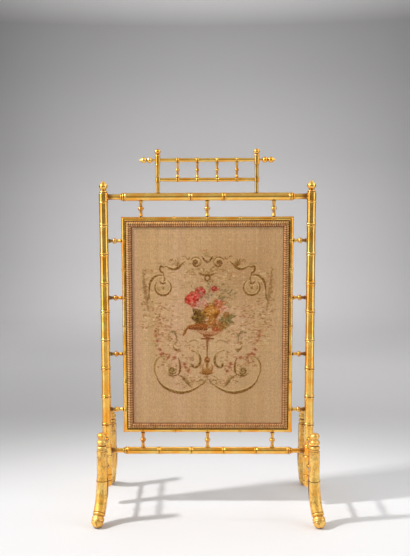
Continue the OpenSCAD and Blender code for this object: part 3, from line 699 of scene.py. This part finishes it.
def draw_bouquet(w):
    """Roses, blossoms and leaves over the vase."""
    rose = ((120, 14, 10), (186, 26, 22), (214, 50, 44), (232, 104, 92))
    crimson = ((112, 16, 20), (160, 34, 36), (194, 66, 60), (216, 116, 104))
    gold = ((104, 52, 10), (176, 104, 36), (212, 146, 68), (228, 178, 108))
    blush = ((176, 84, 70), (204, 126, 104), (222, 164, 136), (230, 188, 158))
    ember = ((120, 36, 16), (186, 72, 40), (212, 116, 74), (228, 160, 116))
    # Grey-green sprays behind the bouquet
    rng = np.random.default_rng(11)
    for _ in range(70):
        a = rng.uniform(20, 110)
        r = rng.uniform(30, 78)
        w.leaf(*polar(14, 55, r, a), rng.uniform(7, 13), rng.uniform(3, 5),
               a + rng.uniform(-50, 50), (SAGE, (104, 98, 70), (130, 118, 80))[rng.integers(3)],
               rng.uniform(0.4, 0.8))
    for _ in range(26):
        x, z = rng.uniform(-78, -30), rng.uniform(96, 132)
        w.leaf(x, z, rng.uniform(6, 11), 3, rng.uniform(0, 360), SAGE, rng.uniform(0.15, 0.4))
    # Leaves of the bouquet
    dark = ((-14, 6, 150), (-20, 10, 120), (-14, 14, 165), (-22, 20, 135), (-16, 26, 110),
            (-10, 30, 150), (-18, 34, 180), (-26, 18, 160), (-8, 18, 95), (-30, 12, 130),
            (-12, 8, 178), (-22, 38, 140), (-30, 30, 120), (-6, 6, 125))
    for k, (x, z, degrees) in enumerate(dark):
        w.leaf(x, z, 27, 11, degrees, ((66, 46, 12), (88, 64, 20), (104, 76, 26))[k % 3], 0.85,
               (150, 118, 54))
    for x, z, degrees in ((34, 18, -10), (38, 22, 20), (46, 14, -35), (52, 20, 5), (58, 24, 40),
                          (44, 8, -60), (60, 16, -20), (66, 26, 15), (30, 6, -75)):
        w.leaf(x, z, 21, 9, degrees, (70, 78, 42), 0.75, (150, 146, 92))
    w.glow(-22, 26, 13, 16, (70, 48, 14), 0.35)
    # Blossoms between the roses
    for x, z, r in ((-24, 68, 11), (-10, 74, 9), (-34, 60, 9), (-4, 62, 8), (44, 46, 9),
                    (54, 54, 7)):
        w.bloom(x, z, r, 5, blush, x * 0.3, 0.5, 0.8)
    for x, z, r in ((-14, 66, 6), (0, 84, 7), (12, 92, 6)):
        w.bloom(x, z, r, 5, ((104, 84, 76), (140, 116, 100), (186, 158, 134)), x, 0.5, 0.65)
    # Roses and the large flowers
    w.rose(-45, 79, 23, rose, 21)
    w.rose(-21, 99, 18, crimson, 22)
    w.rose(20, 111, 10, crimson, 23, 0.75)
    w.rose(13, 44, 28, gold, 24)
    w.rose(31, 66, 16, ember, 25, 0.85)
    w.rose(12, 12, 15, ((104, 48, 12), (150, 88, 34), (196, 136, 68), (214, 160, 96)), 26, 0.8)
    w.rose(38, -2, 14, ((98, 54, 18), (138, 96, 40), (176, 128, 66), (200, 150, 92)), 27, 0.75)
    w.rose(22, -8, 10, ember, 28, 0.65)
    w.rose(55, 34, 11, ((96, 60, 26), (140, 100, 50), (190, 140, 84)), 29, 0.6)
    # Touches that knit the bouquet together
    earth = ((122, 72, 24), (156, 100, 44), (196, 140, 72), (104, 72, 28), (190, 120, 84))
    petals = ((214, 146, 118), (196, 100, 80), (224, 178, 146), (150, 104, 80))
    shade = ((88, 62, 20), (112, 84, 34), (70, 48, 14), (150, 118, 54))
    w.dabs(14, 32, 40, 44, earth, 110, 41, 0.55)
    w.dabs(16, 4, 42, 16, earth + ((176, 84, 56),), 80, 42, 0.7)
    w.dabs(-26, 66, 28, 16, petals, 50, 43, 0.7)
    w.dabs(-33, 90, 9, 8, rose[1:], 14, 53, 0.8)
    w.dabs(-48, 80, 20, 19, rose[1:] + ((236, 150, 130),), 30, 44, 0.75)
    w.dabs(-20, 100, 18, 15, crimson[1:] + ((232, 150, 136),), 24, 45, 0.7)
    w.dabs(22, 108, 16, 9, crimson[1:] + (SAGE,), 14, 46, 0.6)
    w.dabs(34, 62, 20, 15, ember[1:] + (gold[1], (226, 150, 130)), 34, 47, 0.7)
    w.dabs(13, 44, 30, 27, gold, 60, 48, 0.75)
    w.dabs(-20, 24, 22, 22, shade, 50, 49, 0.7)
    w.dabs(54, 16, 26, 20, ((104, 96, 50), (128, 116, 64), (88, 74, 34)), 50, 50, 0.6)
    w.dabs(48, 84, 34, 30, (SAGE, (128, 116, 80), (150, 132, 92)), 60, 51, 0.45)
    w.dabs(-6, 90, 24, 18, (SAGE, (140, 110, 88), (170, 120, 100)), 30, 52, 0.5)


def draw_vase(w):
    """Tray with a lip on the left, bowl, stem and fluted foot."""
    line, _ = pens(w, 1)
    line([(-56, -1), (-42, 0), (-24, 1), (-5, 1)], 8, (150, 78, 26), 0.85, (0.6, 1))
    line([(-58, -6), (-40, -7), (-20, -8), (-4, -9)], 5, (112, 54, 16), 0.75, (0.5, 1))
    line([(-56, -2), (-63, -8), (-66, -17), (-71, -27)], 5.5, (140, 82, 34), 0.85, (1, 0.5))
    line([(-54, 3), (-62, -2), (-68, -12)], 2.4, PALE, 0.5)
    line([(-28, -15), (-10, -20), (8, -22), (30, -18), (44, -12)], 8, (172, 104, 72), 0.45,
         (0.5, 0.4))
    line([(-22, -20), (-6, -26), (12, -27), (30, -23)], 3.6, (128, 68, 40), 0.55, (0.3, 0.3))
    w.stroke([(-17, -37), (17, -37)], 4.2, (118, 62, 30), 0.75, (0.7, 0.7))
    line([(-10, -28), (0, -31), (10, -28)], 6, (134, 74, 44), 0.65, (0.6, 0.6))
    w.stroke([(0, -36), (-1, -76)], 5.4, (126, 74, 34), 0.85, (1, 0.35))
    w.stroke([(-1, -76), (-1, -92)], 3, (140, 92, 44), 0.7, (0.6, 1))
    w.spot(-1, -101, 8.5, 10, (150, 82, 24), 0.85)
    w.spot(-1, -105, 5, 5, (96, 52, 14), 0.7)
    w.stroke([(-1, -110), (-1, -124)], 4, (132, 80, 30), 0.8, (1, 1))
    for k in range(-4, 5):
        w.leaf(-3 + 1.2 * k, -143, 25 - 2 * abs(k), 5.5, 90 - 13 * k, (150, 94, 40), 0.6,
               (196, 142, 78))
    line([(-24, -138), (-3, -143), (18, -138)], 4, (120, 74, 30), 0.7, (0.3, 0.3))
    flutes = ((112, 70, 26), (166, 110, 50), (206, 156, 92), (134, 104, 50))
    w.dabs(-2, -128, 22, 26, flutes, 46, 54, 0.55)
    w.stroke([(-1, -148), (-1, -176)], 2.4, OLIVE, 0.45, (1, 0.2))
    for side in (1, -1):
        line, _ = pens(w, side)
        line([(4, -142), (14, -128), (12, -112)], 3, (150, 92, 40), 0.6)


def draw_sprigs(w, leaves=0.55):
    """Faint sprigs scattered around the scrolls, a share of them leaves and the rest dots."""
    rng = np.random.default_rng(5)
    tints = (ROSY, (110, 90, 40), (136, 96, 50), (150, 104, 60), (168, 108, 84), (232, 198, 148))
    # Limits of each area in millimetres, and its count of sprigs
    areas = ((-190, -100, -12, 66, 130), (96, 190, -12, 66, 110), (-160, -70, -60, -8, 46),
             (56, 168, -60, -8, 60), (-96, -48, -178, -72, 60), (48, 96, -178, -72, 60),
             (-78, 78, 128, 168, 60), (-190, -160, 64, 170, 34), (150, 192, 60, 170, 34),
             (-150, -90, -124, -96, 20), (90, 150, -124, -96, 24), (-50, 50, -178, -148, 40),
             (-60, 60, -78, -44, 30), (-20, 20, 205, 226, 14), (46, 86, -8, 66, 26))
    for low_x, high_x, low_z, high_z, count in areas:
        for _ in range(count):
            x, z = rng.uniform(low_x, high_x), rng.uniform(low_z, high_z)
            tint = tints[rng.integers(len(tints))]
            if rng.random() < leaves:
                w.leaf(x, z, rng.uniform(6, 14), rng.uniform(2.4, 4.6),
                       rng.normal(0, 28) + 180 * rng.integers(2), tint, rng.uniform(0.3, 0.75))
            else:
                w.spot(x, z, rng.uniform(1.8, 4.0), rng.uniform(1.4, 2.6), tint,
                       rng.uniform(0.3, 0.75))


def draw_foliage(w):
    """Clouds of small touches round the scrolls: middle, half sizes and count, for the right."""
    tones = ((112, 84, 30), (146, 112, 54), (224, 186, 126), (92, 60, 20), (172, 132, 78))
    clouds = ((33, 187, 26, 22, 34), (87, 190, 24, 13, 26), (20, 160, 26, 9, 20),
              (129, 116, 20, 20, 26), (104, -132, 28, 22, 50), (62, -166, 26, 18, 36),
              (24, -172, 22, 12, 24), (96, -52, 22, 16, 24), (44, -100, 20, 26, 22),
              (128, -92, 26, 12, 30), (186, 110, 10, 66, 50), (150, -40, 16, 34, 30))
    for index, (x, z, rx, rz, count) in enumerate(clouds):
        for side in (1, -1):
            w.dabs(side * x, z, rx, rz, tones, count, 60 + index * 2 + side, 0.5, (1.8, 4))


def draw_garlands(w):
    """A feathered stem and a string of buds on each side, and the fan at the top."""
    for side in (1, -1):
        stem = both([(187, 168), (185, 132), (181, 100), (177, 72), (172, 46)], side)
        w.stroke(spline(stem), 6, (140, 104, 66), 0.45, (0.2, 0.3), 3)
        for k in range(14):
            z = 160 - 8 * k
            x = side * (187 - 0.0011 * (168 - z) ** 2)
            w.leaf(x, z, 11, 4, -90 + side * (38 if k % 2 else -38), (152, 118, 88), 0.35)
        for x, z, r in ((152, -15, 3.4), (151, -27, 3.8), (146, -43, 3), (140, -69, 4.2),
                        (131, -81, 3.6), (116, -93, 3.6), (97, -93, 4.4), (68, -113, 4),
                        (65, -122, 3.6), (57, -133, 4), (137, -84, 3.4)):
            w.rose(side * x, z, r + 1.5, (WINE, ROSY, (216, 158, 130)), int(x), 0.5)
            w.dabs(side * x, z, r + 5, r + 2, (ROSY, (158, 84, 62), (206, 150, 118)), 9,
                   int(x) + 200, 0.6, (1.6, 3.2))
            w.spot(side * x, z, r * 0.7, r * 0.5, (128, 54, 36), 0.6, 2)
        w.stroke(spline(both([(136, -84), (124, -83), (110, -85)], side)), 3.6, (150, 84, 60),
                 0.65 if side > 0 else 0.45)
    fan = ((90, 24), (70, 21), (110, 21), (50, 16), (130, 16), (32, 11), (148, 11))
    for degrees, length in fan:
        w.leaf(-2, 203, length, 4.6, degrees, (140, 112, 66), 0.5, PALE)
    w.spot(0, 190, 4, 5, BROWN, 0.6)
    w.leaf(0, 136, 9, 4, -90, MOSS, 0.6)


# Powers on red, green and blue that lean the dyed darks to golden brown
DARKS = (0.86, 1.0, 1.3)


def weave_picture(width, height, pitch):
    """The tapestry's picture: streaked ground, sprigs, scrolls, vase and flowers."""
    w = Weave(width, height, pitch, GROUND)
    rng = np.random.default_rng(3)
    # Pinkish and greenish streaks down the ground
    streaks = ((216, 168, 132), (190, 156, 106), (214, 178, 130), (188, 144, 104))
    for _ in range(170):
        x, z = rng.uniform(-width / 2, width / 2), rng.uniform(-height / 2, height / 2)
        tint = streaks[rng.integers(len(streaks))]
        w.glow(x, z, rng.uniform(3, 16), rng.uniform(60, 260), tint, rng.uniform(0.08, 0.35))
    for side in (1, -1):
        w.glow(side * 92, 20, 46, 150, (220, 174, 132), 0.32)
        w.glow(side * 60, -110, 50, 60, (216, 172, 126), 0.25)
    w.glow(30, 120, 60, 40, (190, 160, 116), 0.4)
    w.glow(90, 150, 110, 90, (164, 124, 80), 0.45)
    w.glow(0, -90, 60, 70, (206, 174, 124), 0.3)
    # Short touches that mottle the middle of the ground
    field = ((226, 180, 134), (178, 136, 90), (196, 160, 104), (168, 130, 80), (230, 194, 138))
    for low_z, high_z in ((-60, 20), (20, 100), (100, 170)):
        for _ in range(260):
            x, z = rng.uniform(-185, 185), rng.uniform(low_z, high_z)
            w.spot(x, z, rng.uniform(4, 8), rng.uniform(1.2, 2.2), field[rng.integers(len(field))],
                   rng.uniform(0.2, 0.6))
    for draw in (draw_sprigs, draw_foliage, draw_garlands, draw_scrolls, draw_lower_scrolls,
                 draw_bouquet, draw_vase):
        draw(w)
    base = linear(GROUND)
    w.rgb = base * (w.rgb / base) ** DARKS
    # Each point differs a little, and so do small tufts, rows and columns of them
    tufts = w.squares(TUFT, lambda shape: rng.normal(1, 0.032, shape))[..., None]
    fine = rng.normal(1, 0.055, (w.nz, w.nx, 1))
    rows = rng.normal(1, 0.022, (w.nz, 1, 1))
    lines = rng.normal(1, 0.03, (1, w.nx, 1))
    w.rgb = np.clip(w.rgb * tufts * fine * rows * lines, 0, 1)
    return w


def sheet_mesh(name, weave, middle_z, front, back, lift, material):
    """A closed thin cloth: a fine face with the weave's colours, a plain back and its edges."""
    nx, nz = weave.nx, weave.nz
    xx, zz = np.meshgrid(weave.x * MM, weave.z * MM + middle_z)
    face = np.c_[xx.ravel(), (front + lift(xx, zz)).ravel(), zz.ravel()]
    rear = np.c_[xx.ravel(), np.full(xx.size, back), zz.ravel()]
    grid = np.arange(nx * nz).reshape(nz, nx)
    a, b, c, d = grid[:-1, :-1], grid[:-1, 1:], grid[1:, 1:], grid[1:, :-1]
    quads = np.stack([a, b, c, d], -1).reshape(-1, 4)
    total = nx * nz
    border = np.r_[grid[0, :-1], grid[:-1, -1], grid[-1, :0:-1], grid[:0:-1, 0]]
    after = np.roll(border, -1)
    sides = np.c_[border, border + total, after + total, after]
    points = np.vstack([face, rear])
    faces = np.vstack([quads, quads[:, ::-1] + total, sides])
    if back < front:
        faces = faces[:, ::-1]
    colours = np.vstack([weave.rgb.reshape(-1, 3)] * 2)
    return add_mesh(name, points, faces.tolist(), material, colours)


# Points across the upper side of a braid, and the distance between its rows in millimetres
BRAID_ACROSS = 22
BRAID_STEP = 0.7


def braid(name, outer, wide, middle_z, rest_y, out, thick, rib, material, profile):
    """Closed band round a rectangle, crowned and ribbed across.

    Millimetres, but metres for middle_z. outer is half the rectangle's width and height. The
    band rests on the level rest_y and rises to -Y where out is -1, to +Y where it is 1.
    """
    half_x, half_z = outer
    across = BRAID_ACROSS
    corners = ((-1, -1), (1, -1), (1, 1), (-1, 1), (-1, -1))
    points, tints = [], []
    for (sx0, sz0), (sx1, sz1) in zip(corners, corners[1:]):
        length = 2 * (half_x if sz0 == sz1 else half_z)
        count = int(length / BRAID_STEP)
        for share in np.arange(count) / count:
            for off in np.linspace(0, wide, across):
                x0, z0 = sx0 * (half_x - off), sz0 * (half_z - off)
                x1, z1 = sx1 * (half_x - off), sz1 * (half_z - off)
                x, z = x0 + (x1 - x0) * share, z0 + (z1 - z0) * share
                height, tint = profile(x if sz0 == sz1 else z, off / wide, rib)
                points.append((x, rest_y + out * thick * height, z))
                tints.append(tint)
    rows = len(points) // across
    top = np.array(points)
    tints = np.array(tints)
    # The outer and inner rim again, on the level that the band rests on
    rims = [top[k::across].copy() for k in (0, across - 1)]
    for rim in rims:
        rim[:, 1] = rest_y
    columns = across + 2
    ring = np.zeros((rows, columns), int)
    ring[:, 1:across + 1] = np.arange(rows * across).reshape(rows, across)
    ring[:, 0] = rows * across + np.arange(rows)
    ring[:, across + 1] = rows * across + rows + np.arange(rows)
    after = np.roll(ring, -1, axis=0)
    faces = []
    for k in range(columns):
        m = (k + 1) % columns
        faces.append(np.c_[ring[:, k], after[:, k], after[:, m], ring[:, m]])
    faces = np.vstack(faces)
    if out > 0:
        faces = faces[:, ::-1]
    every = np.vstack([top] + rims) * MM
    every[:, 2] += middle_z
    shades = np.vstack([tints] + [tints[k::across] for k in (0, across - 1)])
    return add_mesh(name, every, faces.tolist(), material, shades)


# Light and rosy yarn of the front gimp and the dark of its painted shade, light yarn of the back
# gimp and the dark of its painted shade
FRONT_GIMP = [linear(c) for c in ((248, 192, 118), (234, 162, 108), (76, 30, 2))]
BACK_GIMP = [linear(c) for c in ((150, 122, 84), (96, 74, 48))]
# Share of the front gimp's width at which its groove runs
GROOVE_AT = 0.52


def crowned(across, power):
    return max(0.0, math.sin(math.pi * min(max(across, 0.02), 0.98))) ** power


def ripple(turns):
    return 0.5 + 0.5 * math.cos(2 * math.pi * turns)


def scatter(value):
    """A fraction that looks random, always the same for a value."""
    wild = math.sin(value) * 43758.5453
    return wild - math.floor(wild)


def front_braid_profile(run, across, rib):
    """Height 0 to 1 and colour of the front gimp at a place along it and across it."""
    crown = crowned(across, 0.8)
    loops = run / rib + 0.5 * abs(across - GROOVE_AT) / 0.48
    wave, fine = ripple(loops), ripple(2 * loops)
    groove = math.exp(-((across - GROOVE_AT) / 0.05) ** 2)
    height = 0.14 + 0.5 * crown + 0.32 * wave * crown + 0.04 * fine * crown - 0.1 * groove
    bright = 0.84 + 0.46 * scatter(12.9898 * math.floor(loops) + 78.233 * (across > GROOVE_AT))
    light, rose, dark = FRONT_GIMP
    tone = light * (1 - across) + rose * across
    # Painted shade: darker in the dips between the loops, in the groove and in the creases along
    # both edges
    crease_shade = max(0.0, across - 0.84) / 0.16 + max(0.0, 0.14 - across) / 0.14
    depth = min(1.0, (1 - wave) ** 1.4 * 0.9 + groove * 0.6 + 0.8 * crease_shade)
    return height, np.clip(tone * bright, 0, 1) * (1 - depth) + dark * depth


def back_braid_profile(run, across, rib):
    """Height 0 to 1 and colour of the back gimp, which is plainer, with painted shade in the dips
    between its ribs.
    """
    crown = crowned(across, 0.4)
    wave = ripple(run / rib + 0.5 * abs(across - 0.5))
    light, dark = BACK_GIMP
    return 0.3 + 0.5 * crown + 0.2 * wave * crown, light * wave + dark * (1 - wave)


# Half width and height of the tapestry, and the strip inside its edge over which slack fades in
CLOTH_HALF = (0.2366, 0.3076)
SLACK_FADE = 0.05
# Distance between the points of the cloths' grids in millimetres
PICTURE_PITCH = 1.25
LINING_PITCH = 4.0
LINING = (140, 116, 84)
LINING_STAINS = ((156, 132, 96), (122, 98, 68))
# CAD node, name, slot, width, thickness and rib of each braid in millimetres, profile, side
BRAIDS = (("front_gimp", "front_braid", "gimp", 17.5, 5.4, 5.2, front_braid_profile, -1),
          ("back_gimp", "back_braid", "back_gimp", 12.0, 2.2, 3.0, back_braid_profile, 1))


def dress_tapestry(width, height, middle_z):
    low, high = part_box("tapestry_panel")
    picture = weave_picture(width, height, PICTURE_PITCH)

    def slack(x, z):
        soft = np.sin(3.1 * x + 5 * z) * np.cos(9 * x - 2.3 * z) + 0.5 * np.sin(21 * x)
        edge = np.clip((CLOTH_HALF[0] - np.abs(x)) / SLACK_FADE, 0, 1) * np.clip(
            (CLOTH_HALF[1] - np.abs(z - middle_z)) / SLACK_FADE, 0, 1)
        return -0.0006 * (0.6 + 0.5 * soft) * edge

    panel = sheet_mesh("tapestry_cloth", picture, middle_z, low.y, high.y, slack,
                       cloth("tapestry_wool", 0.0019, 0.0009, 0.00025))
    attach(panel, "root")
    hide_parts("tapestry_panel")


def dress_lining(width, height, middle_z):
    low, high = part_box("back_lining")
    rng = np.random.default_rng(8)
    lining = Weave(width, height, LINING_PITCH, LINING)
    for _ in range(90):
        lining.glow(rng.uniform(-240, 240), rng.uniform(-310, 310), rng.uniform(8, 50),
                    rng.uniform(8, 60), LINING_STAINS[rng.integers(2)], rng.uniform(0.1, 0.35))
    back = sheet_mesh("lining_cloth", lining, middle_z, high.y, low.y,
                      lambda x, z: 0.0004 * np.sin(14 * x) * np.sin(9 * z),
                      cloth("lining_cotton", 0.0009, 0.0009, 0.00012, 0.15))
    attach(back, "root")
    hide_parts("back_lining")


def dress_braids(middle_z):
    for node, name, slot, wide, thick, rib, profile, out in BRAIDS:
        low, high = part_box(node)
        rest = (high.y if out < 0 else low.y) / MM
        outer = ((high.x - low.x) / 2 / MM, (high.z - low.z) / 2 / MM)
        band = braid(name, outer, wide, middle_z, rest, out, thick, rib,
                     cloth(slot + "_yarn", 0.0011, 0.0011, 0.0002), profile)
        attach(band, "root")
        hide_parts(node)


def dress_cloths():
    low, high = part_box("tapestry_panel")
    middle_z = (low.z + high.z) / 2
    width, height = (high.x - low.x) / MM, (high.z - low.z) / MM
    dress_tapestry(width, height, middle_z)
    dress_lining(width, height, middle_z)
    dress_braids(middle_z)


def dress_frame():
    gold = gilding("burnished_gold", bright=(255, 211, 106), deep=(252, 172, 34),
                   bole=(110, 46, 2), smooth=0.18, rough=0.27, worn=0.0, cracked=0,
                   uneven=0.14, mottled=0.08)
    shaded_worn = gilding("shaded_worn_gold", bright=(250, 202, 96), deep=(212, 132, 20),
                   bole=(84, 34, 0), smooth=0.26, rough=0.4, worn=0.3, cracked=0,
                   uneven=0.3, mottled=0.2)
    legs = gilding("worn_gold", bright=(255, 215, 118), deep=(253, 188, 74),
                   bole=(122, 58, 10), smooth=0.42, rough=0.54, worn=0.6, cracked=0.4,
                   uneven=0.7, mottled=0.5)
    wood = plain("softwood", (150, 112, 70), (196, 158, 110), 0.7, 60, (1, 1, 0.12))
    canvas = plain("linen_canvas", (150, 128, 94), (186, 164, 126), 0.9, 700)
    iron = plain("blued_iron", (26, 27, 32), (58, 58, 62), 0.45, 300, metallic=0.9)
    slots = {"gilding": gold, "leg_gilding": legs, "bare_wood": wood, "canvas": canvas,
             "tack_iron": iron, "brad_iron": iron}
    for part in frame["record"]["subparts"]:
        material = slots.get(part["material_slot"])
        # The spindles get a darker, more worn copy of the gold: painted shade for spindles in the
        # posts' shadow, with wear
        if material is gold and "spindle" in part["node"]:
            material = shaded_worn
        if material:
            nodes[part["node"]].material_slots[0].material = material


make_camera()
make_stage()
make_lights()
make_sky()
bpy.context.scene.view_settings.view_transform = "Standard"
dress_frame()
dress_cloths()
